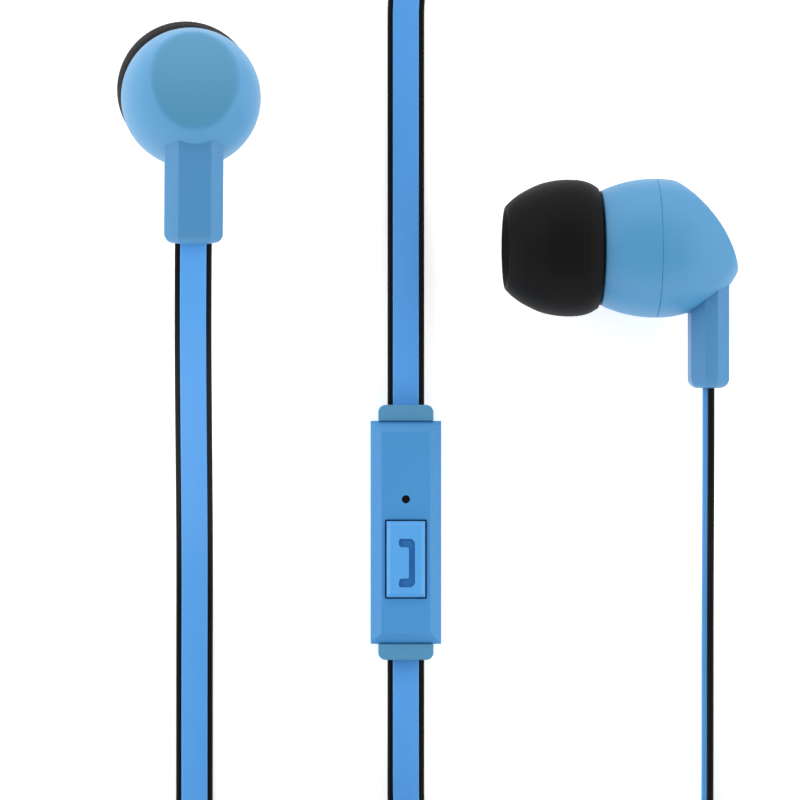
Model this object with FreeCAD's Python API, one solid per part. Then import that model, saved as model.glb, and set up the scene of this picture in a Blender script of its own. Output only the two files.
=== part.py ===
import FreeCAD, Part
import math
import os

# A wired in-ear headset with a flat two-tone cable, laid out on a table.
# Millimetres. +Z is up, the origin is on the table under the middle of the two earbuds.
# Each earbud is drawn along its own x axis, from the ear tip's mouth (x = 0) to the
# slanted outer face, with its stem towards -y, and is then put in its place.

os.makedirs("parts", exist_ok=True)
V = FreeCAD.Vector
X_AXIS = V(1, 0, 0)
Y_AXIS = V(0, 1, 0)
Z_AXIS = V(0, 0, 1)

# Fits
fit_gap = 0.05          # between pieces that slide or slip into each other
air_gap = 0.15          # between pieces that pass without touching
cut_over = 1.0          # how far a cutting tool runs past what it cuts

# Earbud housing
housing_r = 6.5
wall = 0.9
front_x = 8.85          # front wall's outer face
front_wall = 1.0
seam_x = 14.1           # joint between the front and rear shells
front_semi = 9.07       # length of the front ellipse's half axis
rear_semi = 8.2         # length of the rear ellipse's half axis
face_r = 16.0           # curve of the slanted outer face
face_x = 6.46           # axis of that curve
face_y = -6.53
face_fillet = 0.8
spigot_l = 0.6
spigot_wall = 0.45

# Nozzle
nozzle_r = 2.2
nozzle_neck_r = 1.9
nozzle_bore_r = 1.35
nozzle_x = 3.4
nozzle_lip_l = 1.2
nozzle_root_r = 2.9
nozzle_root_l = 0.6
mesh_r = 1.7
mesh_t = 0.15

# Ear tip
tip_r = 6.4
tip_l = 8.7
tip_mouth_r = 3.92
tip_wall = 0.55
tip_tube_wall = 0.75
tip_tube_end = 8.0
tip_funnel_r = 3.45
tip_root_step = 1.3     # where the skirt's inside meets the tube
tip_root_ease = 0.35

# Driver, 10 mm
driver_r = 5.0
driver_seat_x = 11.0
chamber_r = 4.2
cap_t = 0.15
cap_hole_r = 0.45
cap_hole_ring_r = 2.6
cap_holes = 6
frame_wall = 0.4
frame_l = 2.25
yoke_r = 3.2
yoke_wall = 0.45
yoke_base = 0.6
yoke_l = 2.0
yoke_back = 13.9
magnet_r = 2.0
magnet_l = 1.0
plate_r = 2.1
plate_l = 0.4
coil_in_r = 2.28
coil_out_r = 2.58
coil_l = 1.3
diaphragm_r = 4.3
diaphragm_t = 0.1
diaphragm_x = 11.42
dome_h = 0.12
board_w = 2.4
board_h = 1.35
board_t = 0.25
lead_r = 0.22
lead_pitch = 1.0
lead_run = 2.2          # from the board's pad to the lead's bend
lead_drop = 0.2

# Stem
stem_x = 19.07
stem_t = 3.58
stem_w = 5.43
stem_end = 13.1
stem_bevel = 1.2
stem_corner = 0.9
neck_r = 1.3
neck_top = 3.4
stem_bore_r = 0.7

# Flat cable
cable_w = 3.45
cable_t = 1.1
coil_pitch = 1.3
coil_layer = 3.5
coil_mid_r = 17.6
left_coil_x = -15.5
left_coil_y = -84.0
left_coil_turns = 2.278
main_coil_x = 27.3
main_coil_y = -88.0
main_coil_turns = 7.25

# Remote
remote_x = -2.05
remote_w = 6.63
remote_top = -20.35
remote_bottom = -41.25
remote_t = 5.0
remote_split = 2.0
remote_wall = 0.8
remote_bevel = 1.03
remote_back_bevel = 0.5
collar_w = 5.18
collar_l = 1.5
collar_t = 3.6
collar_corner = 0.7
collar_neck_w = 4.2
collar_neck_t = 2.6
button_w = 3.6
button_l = 7.1
button_y = -33.3
button_proud = 0.55
button_bevel = 0.35
button_flange = 0.5
button_flange_t = 0.35
button_travel = 0.3
mic_y = -27.7
mic_hole_r = 0.38
board_rest = 1.5
rib_place = 0.3         # share of the case's length, each side of its middle
pcb_w = 4.8
pcb_l = 17.0
pcb_t = 0.6
switch_side = 3.0
switch_h = 0.85
plunger_r = 0.7
plunger_floor = 0.2     # under the plunger's pocket
mic_w = 2.95
mic_l = 3.76
mic_h = 1.1
gasket_r = 1.3

# Splitter
split_x = 16.95
split_y = -108.7
split_turn = -30.0
split_l = 12.0
split_w = 4.6
split_t = 5.0
split_corner = 1.2

# Plug, 3.5 mm, four poles
plug_tip_x = -33.5
plug_y = -67.0
plug_z = 10.85
pin_r = 1.75
core_r = 0.9
nose_r = 0.55           # the tip's rounded point
nose_len = 1.3
nose_ease = 0.1         # how far the nose stays inside the pin's size
waist_r = 1.15          # the groove that the socket's spring drops into
waist_len = 1.1
tip_len = 3.4
ring_len = 2.2
insul_len = 0.7
sleeve_len = 4.1
shoulder_r = 3.1
shoulder_len = 0.8
grip_r = 3.7
grip_len = 13.5
grip_fillet = 0.8
relief_r = 2.7
relief_end_r = 2.0
relief_len = 6.0


def save(shape, name):
    shape.exportStep("parts/" + name + ".step")


def rod(radius, length, start, direction=X_AXIS):
    return Part.makeCylinder(radius, length, start, direction)


def tube(outer, inner, length, start, direction=X_AXIS):
    hole_start = start - direction * cut_over
    hole = rod(inner, length + 2 * cut_over, hole_start, direction)
    return rod(outer, length, start, direction).cut(hole)


def block(size_x, size_y, size_z, centre):
    corner = centre - V(size_x / 2, size_y / 2, size_z / 2)
    return Part.makeBox(size_x, size_y, size_z, corner)


def edges_along(shape, axis, test):
    found = []
    for edge in shape.Edges:
        if len(edge.Vertexes) < 2:
            continue
        way = edge.Vertexes[1].Point - edge.Vertexes[0].Point
        if way.Length > 0 and abs(way.normalize().dot(axis)) > 0.999 and test(edge.CenterOfMass):
            found.append(edge)
    return found


def turned(edges):
    """A closed outline in x and radius, turned about the x axis."""
    return Part.Face(Part.Wire(edges)).revolve(V(0, 0, 0), X_AXIS, 360)


def line(a, b):
    return Part.LineSegment(V(*a), V(*b)).toShape()


def smooth(points):
    curve = Part.BSplineCurve()
    curve.interpolate([V(x, r, 0) for x, r in points])
    return curve.toShape()


# ---- Earbud pieces, in the earbud's own frame ----

def ellipse_r(x, radius, semi):
    return radius * math.sqrt(1 - ((x - seam_x) / semi) ** 2)


def half_ellipse(x_from, x_to, radius, semi):
    """The shell's outline between two places, as a curve through five points."""
    steps = 4
    places = [x_from + (x_to - x_from) * i / steps for i in range(steps + 1)]
    return smooth([(x, ellipse_r(x, radius, semi)) for x in places])


def rear_body(inset):
    """The rear shell's solid, cut by the slanted face; inset makes the hollow."""
    radius = housing_r - inset
    semi = rear_semi - inset
    back = Part.Ellipse(V(seam_x, 0, 0), semi, radius)
    quarter = Part.ArcOfEllipse(back, 0, math.pi / 2).toShape()
    rear = turned([quarter, line((seam_x, radius, 0), (seam_x, 0, 0)),
                   line((seam_x, 0, 0), (seam_x + semi, 0, 0))])
    face = rod(face_r - inset, 4 * housing_r, V(face_x, face_y, -2 * housing_r), Z_AXIS)
    return rear.common(face)


def make_rear_housing():
    outer = rear_body(0)
    rim = [e for e in outer.Edges if e.BoundBox.XMax > seam_x + wall and e.BoundBox.ZLength > housing_r]
    outer = outer.makeFillet(face_fillet, rim)
    hollow = rear_body(wall)
    neck_hole = rod(neck_r + fit_gap, stem_end, V(stem_x, -stem_end, 0), Y_AXIS)
    return outer.cut(hollow).cut(neck_hole)


def make_front_housing():
    front_r = ellipse_r(front_x, housing_r, front_semi)
    shell = turned([half_ellipse(front_x, seam_x, housing_r, front_semi),
                    line((seam_x, housing_r, 0), (seam_x, 0, 0)),
                    line((seam_x, 0, 0), (front_x, 0, 0)),
                    line((front_x, 0, 0), (front_x, front_r, 0))])
    root_start = V(front_x - nozzle_root_l, 0, 0)
    root = Part.makeCone(nozzle_neck_r, nozzle_root_r, nozzle_root_l, root_start, X_AXIS)
    neck = rod(nozzle_neck_r, front_x - nozzle_x, V(nozzle_x, 0, 0))
    lip = rod(nozzle_r, nozzle_lip_l, V(nozzle_x, 0, 0))
    seat_r = driver_r + fit_gap
    spigot = rod(seat_r + spigot_wall, spigot_l + cut_over, V(seam_x - cut_over, 0, 0))
    solid = shell.fuse([root, neck, lip, spigot])
    chamber = rod(chamber_r, driver_seat_x - front_x - front_wall + cut_over, V(front_x + front_wall, 0, 0))
    seat = rod(seat_r, seam_x + spigot_l - driver_seat_x + cut_over, V(driver_seat_x, 0, 0))
    bore = rod(nozzle_bore_r, front_x + front_wall - nozzle_x + 2 * cut_over, V(nozzle_x - cut_over, 0, 0))
    mesh_seat = rod(mesh_r + fit_gap, mesh_t + cut_over, V(nozzle_x - cut_over, 0, 0))
    return solid.cut(chamber.fuse([seat, bore, mesh_seat]))


def make_ear_tip():
    """A soft mushroom: a dome-shaped skirt round a tube that grips the nozzle."""
    bore = nozzle_r + fit_gap
    tube_r = bore + tip_tube_wall
    skirt_root_r = tube_r + tip_root_step
    skirt_end = tip_r - 0.85
    inner_end = skirt_end - tip_wall
    root_x = 0.38 * tip_l
    funnel_x = nozzle_x - 0.4
    outer = smooth([(0, tip_mouth_r), (0.18 * tip_l, 0.81 * tip_r), (0.36 * tip_l, 0.93 * tip_r),
                    (0.66 * tip_l, tip_r), (0.89 * tip_l, 0.96 * tip_r), (tip_l, skirt_end)])
    inner = smooth([(tip_l - 0.1, inner_end), (0.88 * tip_l, 0.96 * tip_r - tip_wall),
                    (0.66 * tip_l, tip_r - tip_wall), (0.48 * tip_l, 0.95 * tip_r - tip_wall),
                    (root_x, skirt_root_r)])
    outline = [outer,
               line((tip_l, skirt_end, 0), (tip_l - 0.1, inner_end, 0)),
               inner,
               line((root_x, skirt_root_r, 0), (root_x + tip_root_ease, tube_r, 0)),
               line((root_x + tip_root_ease, tube_r, 0), (tip_tube_end, tube_r, 0)),
               line((tip_tube_end, tube_r, 0), (tip_tube_end, bore, 0)),
               line((tip_tube_end, bore, 0), (funnel_x, bore, 0)),
               smooth([(funnel_x, bore), (0.55 * funnel_x, bore + 0.35), (0.2, tip_funnel_r)]),
               line((0.2, tip_funnel_r, 0), (0, tip_mouth_r, 0))]
    return turned(outline)


def make_nozzle_mesh():
    return rod(mesh_r, mesh_t, V(nozzle_x, 0, 0))


def make_driver_cap():
    cap = rod(driver_r, cap_t, V(driver_seat_x, 0, 0))
    holes = [rod(cap_hole_r, cap_t + 2 * cut_over, V(driver_seat_x - cut_over, 0, 0))]
    for i in range(cap_holes):
        angle = 2 * math.pi * i / cap_holes
        across = cap_hole_ring_r * math.cos(angle)
        up = cap_hole_ring_r * math.sin(angle)
        place = V(driver_seat_x - cut_over, across, up)
        holes.append(rod(cap_hole_r, cap_t + 2 * cut_over, place))
    return cap.cut(holes)


def make_driver_frame():
    start = driver_seat_x + cap_t
    cup = rod(driver_r, frame_l, V(start, 0, 0))
    hollow = rod(driver_r - frame_wall, frame_l - frame_wall + cut_over, V(start - cut_over, 0, 0))
    yoke_hole = rod(yoke_r, frame_l + cut_over, V(start, 0, 0))
    return cup.cut([hollow, yoke_hole])


def make_driver_yoke():
    start = yoke_back - yoke_l
    pot = rod(yoke_r, yoke_l, V(start, 0, 0))
    return pot.cut(rod(yoke_r - yoke_wall, yoke_l - yoke_base + cut_over, V(start - cut_over, 0, 0)))


def make_driver_magnet():
    return rod(magnet_r, magnet_l, V(yoke_back - yoke_base - magnet_l, 0, 0))


def make_driver_top_plate():
    return rod(plate_r, plate_l, V(yoke_back - yoke_base - magnet_l - plate_l, 0, 0))


def make_voice_coil():
    return tube(coil_out_r, coil_in_r, coil_l, V(diaphragm_x + diaphragm_t, 0, 0))


def make_diaphragm():
    """A thin disc with a shallow dome over the voice coil."""
    disc = rod(diaphragm_r, diaphragm_t, V(diaphragm_x, 0, 0))
    dome = Part.makeCone(coil_out_r, coil_in_r, dome_h, V(diaphragm_x, 0, 0), V(-1, 0, 0))
    hollow_start = V(diaphragm_x + diaphragm_t, 0, 0)
    under = Part.makeCone(coil_in_r, coil_in_r - dome_h, dome_h, hollow_start, V(-1, 0, 0))
    return disc.fuse(dome).cut(under)


def board_middle():
    return V(driver_seat_x + cap_t + frame_l, (driver_r + yoke_r) / 2, 0)


def make_terminal_board():
    middle = board_middle()
    return block(board_t, board_h, board_w, middle + V(board_t / 2, 0, 0))


def make_driver_leads():
    """Two thin leads from the stem's neck to the pads on the driver's board."""
    pad = board_middle() + V(board_t, 0, 0)
    leads = []
    for side in (-1, 1):
        z = side * lead_pitch / 2
        start = V(stem_x, -neck_top, z)
        bend = V(pad.x + lead_run, pad.y - lead_drop, z)
        end = V(pad.x, pad.y, z)
        first = rod(lead_r, (bend - start).Length, start, bend - start)
        second = rod(lead_r, (end - bend).Length, bend, end - bend)
        leads.append(first.fuse([second, Part.makeSphere(lead_r, bend)]))
    return Part.makeCompound(leads)


def make_stem():
    """A flat block with bevelled long edges, fitted to the housing's underside."""
    stem = block(stem_t, stem_end, stem_w, V(stem_x, -stem_end / 2, 0))
    long_edges = edges_along(stem, Y_AXIS, lambda p: True)
    stem = stem.makeChamfer(stem_bevel, long_edges)
    low = [e for e in stem.Edges if e.BoundBox.YMax < -stem_end + 0.01]
    stem = stem.makeFillet(stem_corner, low)
    stem = stem.cut(rear_body(0))
    pieces = sorted(stem.Solids, key=lambda s: s.BoundBox.YMin)
    neck = rod(neck_r, stem_end / 2 - neck_top, V(stem_x, -stem_end / 2, 0), Y_AXIS)
    bore = rod(stem_bore_r, stem_end, V(stem_x, -stem_end + cut_over, 0), Y_AXIS)
    return pieces[0].fuse(neck).cut(bore)


bud_pieces = {
    "front_housing": make_front_housing,
    "rear_housing": make_rear_housing,
    "ear_tip": make_ear_tip,
    "nozzle_mesh": make_nozzle_mesh,
    "driver_cap": make_driver_cap,
    "driver_frame": make_driver_frame,
    "driver_yoke": make_driver_yoke,
    "driver_magnet": make_driver_magnet,
    "driver_top_plate": make_driver_top_plate,
    "voice_coil": make_voice_coil,
    "diaphragm": make_diaphragm,
    "terminal_board": make_terminal_board,
    "driver_leads": make_driver_leads,
    "stem": make_stem,
}

# The left earbud stands on its ear tip and leans; the right one lies on its side.
left_lean = FreeCAD.Rotation(Y_AXIS, 4.3) * FreeCAD.Rotation(X_AXIS, 6.2)
left_place = FreeCAD.Placement(V(-23.1, 11.25, 0.52), left_lean * FreeCAD.Rotation(Y_AXIS, -90))
right_place = FreeCAD.Placement(V(7.27, -4.2, 7.88), FreeCAD.Rotation(Y_AXIS, 5.5))
bud_places = {"left": left_place, "right": right_place}


def build_buds():
    for name, make in bud_pieces.items():
        shape = make()
        for side, place in bud_places.items():
            copy = shape.copy()
            copy.Placement = place.multiply(copy.Placement)
            save(copy, side + "_" + name)


# ---- Remote, lying on its back along the y axis ----

def remote_middle():
    return (remote_top + remote_bottom) / 2


def make_remote_covers():
    length = remote_top - remote_bottom
    middle = remote_middle()
    solid = block(remote_w, length, remote_t, V(remote_x, middle, remote_t / 2))
    top = [e for e in solid.Edges if e.BoundBox.ZMin > remote_t - 0.01]
    solid = solid.makeChamfer(remote_bevel, top)
    under = [e for e in solid.Edges if e.BoundBox.ZMax < 0.01]
    solid = solid.makeChamfer(remote_back_bevel, under)
    inner_w = remote_w - 2 * remote_wall
    inner_l = length - 2 * remote_wall
    inner_t = remote_t - 2 * remote_wall
    solid = solid.cut(block(inner_w, inner_l, inner_t, V(remote_x, middle, remote_t / 2)))
    for end in (remote_top, remote_bottom):
        slot = block(collar_neck_w + fit_gap, 3 * remote_wall, collar_neck_t + fit_gap,
                     V(remote_x, end, remote_t / 2))
        solid = solid.cut(slot)
    lower = block(2 * remote_w, 2 * length, remote_split, V(remote_x, middle, remote_split / 2))
    back = solid.common(lower)
    front = solid.cut(lower)
    opening_middle = V(remote_x, button_y, remote_t)
    opening = block(button_w + 2 * air_gap, button_l + 2 * air_gap, remote_t, opening_middle)
    front = front.cut(opening)
    front = front.cut(rod(mic_hole_r, remote_t, V(remote_x, mic_y, remote_t / 2), Z_AXIS))
    for place in (-rib_place, rib_place):
        rib = block(inner_w, remote_wall, board_rest - remote_wall,
                    V(remote_x, middle + place * length, (board_rest + remote_wall) / 2))
        back = back.fuse(rib)
    return front, back


def make_remote_button():
    under = remote_t - remote_wall - button_flange_t - fit_gap
    cap = block(button_w, button_l, remote_t + button_proud - under,
                V(remote_x, button_y, (remote_t + button_proud + under) / 2))
    cap = cap.makeChamfer(button_bevel, [e for e in cap.Edges if e.BoundBox.ZMin > remote_t])
    flange = block(button_w + 2 * button_flange, button_l + 2 * button_flange, button_flange_t,
                   V(remote_x, button_y, under + button_flange_t / 2))
    return cap.fuse(flange)


def make_remote_pcb():
    return block(pcb_w, pcb_l, pcb_t, V(remote_x, remote_middle(), board_rest + pcb_t / 2))


def make_switch():
    base = board_rest + pcb_t
    body = block(switch_side, switch_side, switch_h, V(remote_x, button_y, base + switch_h / 2))
    pocket = rod(plunger_r + fit_gap, switch_h, V(remote_x, button_y, base + plunger_floor), Z_AXIS)
    button_under = remote_t - remote_wall - button_flange_t - fit_gap
    plunger_base = base + plunger_floor + button_travel + fit_gap
    plunger = rod(plunger_r, button_under - plunger_base, V(remote_x, button_y, plunger_base), Z_AXIS)
    return body.cut(pocket), plunger


def make_microphone():
    base = board_rest + pcb_t
    capsule = block(mic_w, mic_l, mic_h, V(remote_x, mic_y, base + mic_h / 2))
    height = remote_t - remote_wall - base - mic_h
    gasket = tube(gasket_r, mic_hole_r + 0.1, height, V(remote_x, mic_y, base + mic_h), Z_AXIS)
    return capsule, gasket


def make_collar(end, way):
    """A sleeve for the cable at one end of the remote, with a neck into the shell."""
    middle = V(remote_x, end + way * collar_l / 2, remote_t / 2)
    sleeve = block(collar_w, collar_l, collar_t, middle)
    outer = edges_along(sleeve, Z_AXIS, lambda p: (p.y - end) * way > collar_l / 2)
    sleeve = sleeve.makeFillet(collar_corner, outer)
    neck_middle = V(remote_x, end - way * remote_wall / 2, remote_t / 2)
    neck = block(collar_neck_w, remote_wall, collar_neck_t, neck_middle)
    return sleeve.fuse(neck)


def build_remote():
    front, back = make_remote_covers()
    switch_body, plunger = make_switch()
    capsule, gasket = make_microphone()
    save(front, "remote_front_cover")
    save(back, "remote_back_cover")
    save(make_remote_button(), "remote_button")
    save(make_remote_pcb(), "remote_pcb")
    save(switch_body, "remote_switch_body")
    save(plunger, "remote_switch_plunger")
    save(capsule, "remote_microphone")
    save(gasket, "remote_mic_gasket")
    save(make_collar(remote_top, 1), "remote_upper_collar")
    save(make_collar(remote_bottom, -1), "remote_lower_collar")


# ---- Plug, on its side with the pin towards -x ----

def build_plug():
    poles = [("tip", tip_len), ("insulator_1", insul_len), ("ring_1", ring_len), ("insulator_2", insul_len),
             ("ring_2", ring_len), ("insulator_3", insul_len), ("sleeve", sleeve_len)]
    x = plug_tip_x
    for name, length in poles:
        start = V(x, plug_y, plug_z)
        if name == "tip":
            shoulder = pin_r - nose_ease
            heel_start = nose_len + waist_len
            nose = Part.makeCone(nose_r, shoulder, nose_len, start, X_AXIS)
            waist = Part.makeCone(shoulder, waist_r, waist_len, start + V(nose_len, 0, 0), X_AXIS)
            heel = Part.makeCone(waist_r, pin_r, length - heel_start, start + V(heel_start, 0, 0), X_AXIS)
            core = rod(core_r, insul_len * 3 + ring_len * 2 + sleeve_len / 2, start + V(length, 0, 0))
            pole = nose.fuse([waist, heel, core])
        else:
            pole = tube(pin_r, core_r, length, start)
        if name == "sleeve":
            pole = pole.fuse(rod(shoulder_r, shoulder_len, start + V(length, 0, 0)))
        save(pole, "plug_" + name)
        x = x + length
    grip_start = V(x + shoulder_len, plug_y, plug_z)
    grip = rod(grip_r, grip_len, grip_start)
    grip = grip.makeFillet(grip_fillet, [e for e in grip.Edges if e.BoundBox.XLength < 0.01])
    save(grip, "plug_grip")
    relief = Part.makeCone(relief_r, relief_end_r, relief_len, grip_start + V(grip_len, 0, 0), X_AXIS)
    save(relief, "plug_strain_relief")


# ---- Flat cables ----

# Each route is a list of corners, rounded by arcs. The cable lies flat (0) or on its edge (90),
# and twists from one to the other over a stretch that starts a way along it.
right_upper_route = [(26.25, -17.3, 6.05), (26.25, -24.2, 6.05), (26.25, -38.0, 1.9), (26.2, -60.0, 1.73),
                     (36.94, -66.2, 1.73), (47.68, -60.0, 1.73), (45.9, -38.0, 1.73), (45.2, -12.0, 1.73),
                     (44.4, 8.0, 1.73), (41.0, 20.5, 1.73), (31.0, 27.3, 1.73), (12.5, 29.0, 1.73),
                     (2.6, 27.0, 1.6), (-2.05, 19.5, 0.7), (-2.05, 2.5, 0.6), (-2.05, -12.0, 2.4),
                     (-2.05, -18.85, 2.5)]
right_lower_route = [(-2.05, -42.75, 2.5), (-2.05, -49.5, 2.4), (-2.05, -60.0, 0.7), (1.3, -68.5, 1.3),
                     (4.4, -77.0, 1.73), (5.15, -86.5, 1.73), (4.47, -97.3, 1.73), (7.37, -102.3, 2.3),
                     (12.13, -105.05, 2.5)]
left_upper_route = [(-21.78, -3.83, 18.01), (-21.84, -10.69, 17.27), (-21.85, -20.8, 10.8),
                    (-21.85, -32.0, 2.4), (-21.9, -44.0, 0.62), (-21.9, -57.5, 0.6),
                    (-27.6, -67.8, 1.5), (-33.83, -76.0, 1.73), (-33.83, -84.0, 1.73)]
left_lower_route = [(-12.32, -102.05, 5.23), (-4.93, -100.75, 4.6), (6.62, -103.6, 2.6),
                    (11.38, -106.35, 2.5)]
main_start_route = [(22.15, -111.7, 2.5), (26.5, -114.2, 2.3), (36.0, -114.0, 1.76), (43.8, -108.6, 1.73),
                    (47.0, -99.5, 1.73), (47.25, -88.0, 1.73)]
main_end_route = [(27.3, -68.05, 5.23), (19.8, -68.0, 6.0), (9.0, -67.1, 10.2), (0.8, -67.0, 10.85)]
arc_share = 0.45
arc_step = math.radians(9)
twist_step = 1.2
flat = 0
on_edge = 90


def sampled(route):
    """Points and directions along a route: its straight runs, and arcs cut into short steps."""
    corners = [V(*p) for p in route]
    ways = [(b - a).normalize() for a, b in zip(corners, corners[1:])]
    runs = [(b - a).Length for a, b in zip(corners, corners[1:])]
    samples = [(corners[0], ways[0])]
    radii = []
    for i in range(1, len(corners) - 1):
        before = ways[i - 1]
        after = ways[i]
        turn = before.getAngle(after)
        cut = arc_share * min(runs[i - 1], runs[i])
        radius = cut / math.tan(turn / 2)
        radii.append(radius)
        start = corners[i] - before * cut
        inward = (after - before * before.dot(after)).normalize()
        steps = max(1, math.ceil(turn / arc_step))
        for k in range(steps + 1):
            angle = turn * k / steps
            place = start + before * (radius * math.sin(angle)) + inward * (radius * (1 - math.cos(angle)))
            samples.append((place, before * math.cos(angle) + inward * math.sin(angle)))
    samples.append((corners[-1], ways[-1]))
    return samples, radii


def section(place, way, angle):
    """The cable's rectangle across its direction, turned by an angle from lying flat."""
    side = way.cross(Z_AXIS).normalize()
    up = side.cross(way)
    wide = side * math.cos(angle) + up * math.sin(angle)
    thin = up * math.cos(angle) - side * math.sin(angle)
    across = wide * (cable_w / 2)
    over = thin * (cable_t / 2)
    ring = [place + across + over, place - across + over, place - across - over, place + across - over]
    return Part.makePolygon(ring + [ring[0]])


def make_cable(name, route, first, last, twist_from=0.0, twist_length=1.0):
    samples, radii = sampled(route)
    sections = []
    travelled = 0.0
    for (place, way), (next_place, next_way) in zip(samples, samples[1:] + samples[-1:]):
        gap = (next_place - place).Length
        near_twist = travelled + gap > twist_from and travelled < twist_from + twist_length
        steps = max(1, math.ceil(gap / twist_step)) if near_twist and first != last else 1
        for k in range(steps):
            share = k / steps
            along = travelled + gap * share
            turned_by = min(1, max(0, (along - twist_from) / twist_length))
            angle = math.radians(first + (last - first) * turned_by)
            heading = (way * (1 - share) + next_way * share).normalize()
            middle = place + (next_place - place) * share
            half_height = (cable_w * math.sin(angle) + cable_t * math.cos(angle)) / 2
            middle.z = max(middle.z, half_height)
            sections.append(section(middle, heading, angle))
        travelled = travelled + gap
    cable = Part.makeLoft(sections, True, True)
    expected = cable_w * cable_t * travelled
    print("%s length %.1f, volume %.1f of %.1f, radii %s"
          % (name, travelled, cable.Volume, expected, [round(r, 1) for r in radii]))
    return cable


def coil_radii(turns):
    spread = cable_t / 2 + coil_pitch * turns / 4
    return coil_mid_r - spread, coil_mid_r + spread


def make_coil(x, y, turns):
    """The outer shape of a coil in two layers, with the cable on its edge."""
    inner, outer = coil_radii(turns)
    height = cable_w + coil_layer
    return tube(outer, inner, height, V(x, y, 0), Z_AXIS)


def outside_coil(cable, x, y, turns):
    inner, outer = coil_radii(turns)
    return cable.cut(rod(outer, housing_r * 4, V(x, y, -housing_r), Z_AXIS))


def build_cables():
    left_coil = (left_coil_x, left_coil_y, left_coil_turns)
    main_coil = (main_coil_x, main_coil_y, main_coil_turns)
    save(make_cable("right_cable_upper", right_upper_route, on_edge, flat, 182, 12), "right_cable_upper")
    save(make_cable("right_cable_lower", right_lower_route, flat, on_edge, 18, 12), "right_cable_lower")
    left_upper = make_cable("left_cable_upper", left_upper_route, flat, on_edge, 57, 12)
    save(outside_coil(left_upper, *left_coil), "left_cable_upper")
    left_lower = make_cable("left_cable_lower", left_lower_route, on_edge, on_edge)
    save(outside_coil(left_lower, *left_coil), "left_cable_lower")
    main_start = make_cable("main_cable_start", main_start_route, on_edge, on_edge)
    save(outside_coil(main_start, *main_coil), "main_cable_start")
    main_end = make_cable("main_cable_end", main_end_route, on_edge, on_edge)
    save(outside_coil(main_end, *main_coil), "main_cable_end")
    save(make_coil(*left_coil), "left_cable_coil")
    save(make_coil(*main_coil), "main_cable_coil")


def build_splitter():
    body = block(split_l, split_w, split_t, V(0, 0, split_t / 2))
    body = body.makeFillet(split_corner, edges_along(body, Z_AXIS, lambda p: True))
    body.Placement = FreeCAD.Placement(V(split_x, split_y, 0), FreeCAD.Rotation(Z_AXIS, split_turn))
    save(body, "splitter")


build_buds()
build_remote()
build_plug()
build_splitter()
build_cables()
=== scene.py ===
import bmesh
import bpy
import math
from mathutils import Matrix, Vector


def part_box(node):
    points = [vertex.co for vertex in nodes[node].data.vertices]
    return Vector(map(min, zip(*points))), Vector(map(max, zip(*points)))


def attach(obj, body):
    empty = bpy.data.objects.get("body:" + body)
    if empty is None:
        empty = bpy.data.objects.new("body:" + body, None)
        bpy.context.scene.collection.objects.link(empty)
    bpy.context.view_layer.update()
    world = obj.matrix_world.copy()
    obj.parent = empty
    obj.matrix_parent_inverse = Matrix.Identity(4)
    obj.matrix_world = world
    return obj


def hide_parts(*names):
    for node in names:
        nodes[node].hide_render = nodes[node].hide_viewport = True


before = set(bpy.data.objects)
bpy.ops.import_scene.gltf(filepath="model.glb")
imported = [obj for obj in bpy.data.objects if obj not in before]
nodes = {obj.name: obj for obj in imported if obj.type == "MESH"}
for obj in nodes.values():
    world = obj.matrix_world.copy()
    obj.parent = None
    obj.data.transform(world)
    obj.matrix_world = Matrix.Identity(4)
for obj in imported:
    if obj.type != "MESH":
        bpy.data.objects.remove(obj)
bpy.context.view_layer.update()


# ---- Table, light and camera ----
# A plain white table top under a soft light tent: bright walls all round, a dimmer roof.
# The camera hangs straight over the middle of what is laid out, with a long lens.

MM = 0.001
look_at = Vector((-2.6, -18.4, 5.0)) * MM
camera_height = 1500 * MM
picture_width = 74.9 * MM
tent_wall = 1.95
tent_roof = 0.3
roof_starts = 0.45
roof_full = 0.85
softbox_size = 0.5
table_reach = 2
table_white = (0.93, 0.93, 0.935, 1)
table_glow = 0.45
white = (1, 1, 1, 1)

camera_data = bpy.data.cameras.new("camera")
camera_data.lens = camera_data.sensor_width * camera_height / picture_width
camera_data.clip_start = 0.1
camera_data.clip_end = 10
camera = bpy.data.objects.new("camera", camera_data)
camera.location = look_at + Vector((0, 0, camera_height))
bpy.context.collection.objects.link(camera)
bpy.context.scene.camera = camera
bpy.context.scene.view_settings.view_transform = "Standard"

world = bpy.data.worlds.new("tent")
bpy.context.scene.world = world
world.use_nodes = True
sky = world.node_tree
direction = sky.nodes.new("ShaderNodeTexCoord")
split = sky.nodes.new("ShaderNodeSeparateXYZ")
height = sky.nodes.new("ShaderNodeMapRange")
height.inputs["From Min"].default_value = roof_starts
height.inputs["From Max"].default_value = roof_full
height.inputs["To Min"].default_value = tent_wall
height.inputs["To Max"].default_value = tent_roof
sky.links.new(direction.outputs["Generated"], split.inputs[0])
sky.links.new(split.outputs["Z"], height.inputs["Value"])
sky.links.new(height.outputs["Result"], sky.nodes["Background"].inputs["Strength"])
sky.nodes["Background"].inputs["Color"].default_value = white

for name, place, power in (("softbox_left", (-0.6, 0.3, 0.6), 1.2),
                           ("softbox_right", (0.65, 0.1, 0.55), 0.9)):
    lamp = bpy.data.lights.new(name, "AREA")
    lamp.size = softbox_size
    lamp.energy = power
    softbox = bpy.data.objects.new(name, lamp)
    softbox.location = place
    softbox.rotation_mode = "QUATERNION"
    softbox.rotation_quaternion = (look_at - Vector(place)).to_track_quat("-Z", "Y")
    bpy.context.collection.objects.link(softbox)

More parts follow.
